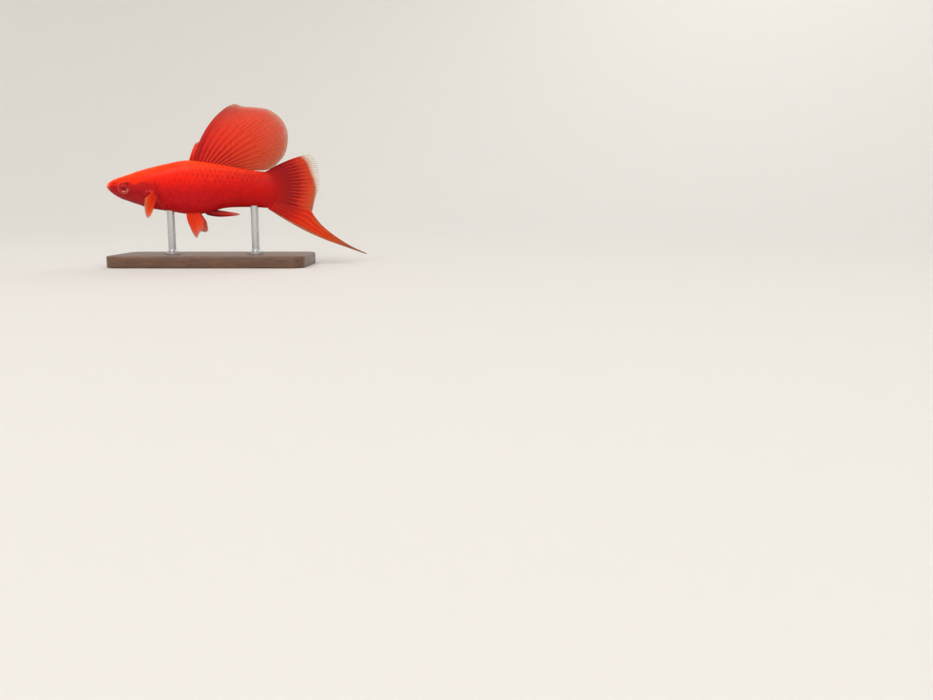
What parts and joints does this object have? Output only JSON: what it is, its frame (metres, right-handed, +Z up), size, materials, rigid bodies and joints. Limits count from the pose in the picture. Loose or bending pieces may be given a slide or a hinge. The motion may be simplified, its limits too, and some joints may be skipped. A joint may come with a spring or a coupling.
{
  "type": "swordtail",
  "caption": "Life-size model of a male swordtail fish with a tall back fin and a sword-like tail, on a flat base with short rods.",
  "frame": {"origin": "middle of the underside of the whole model's box, on the surface that the stand rests on", "axes": "+X from the snout to the tail, +Y out of the fish's right side, +Z up"},
  "size_m": [0.1015, 0.034, 0.0624],
  "materials": {
    "skin": "painted scaly skin, orange-red back, crimson belly, wet sheen",
    "fin": "thin rayed fin skin, red to clear at the rims",
    "eye": "clear polished red eye with a darker pupil",
    "stand_wood": "dark satin hardwood",
    "stand_steel": "fine brushed"
  },
  "bodies": {
    "root": {"head": "skin", "trunk": "skin", "tail_stalk": "skin", "eye_left": "eye", "eye_right": "eye", "dorsal_fin": "fin", "tail_fin": "fin", "tail_sword": "fin", "gonopodium": "fin", "pectoral_fin_left": "fin", "pectoral_fin_right": "fin", "pelvic_fin_left": "fin", "pelvic_fin_right": "fin", "stand_base": "stand_wood", "stand_rod_front": "stand_steel", "stand_rod_rear": "stand_steel"}
  },
  "joints": []
}
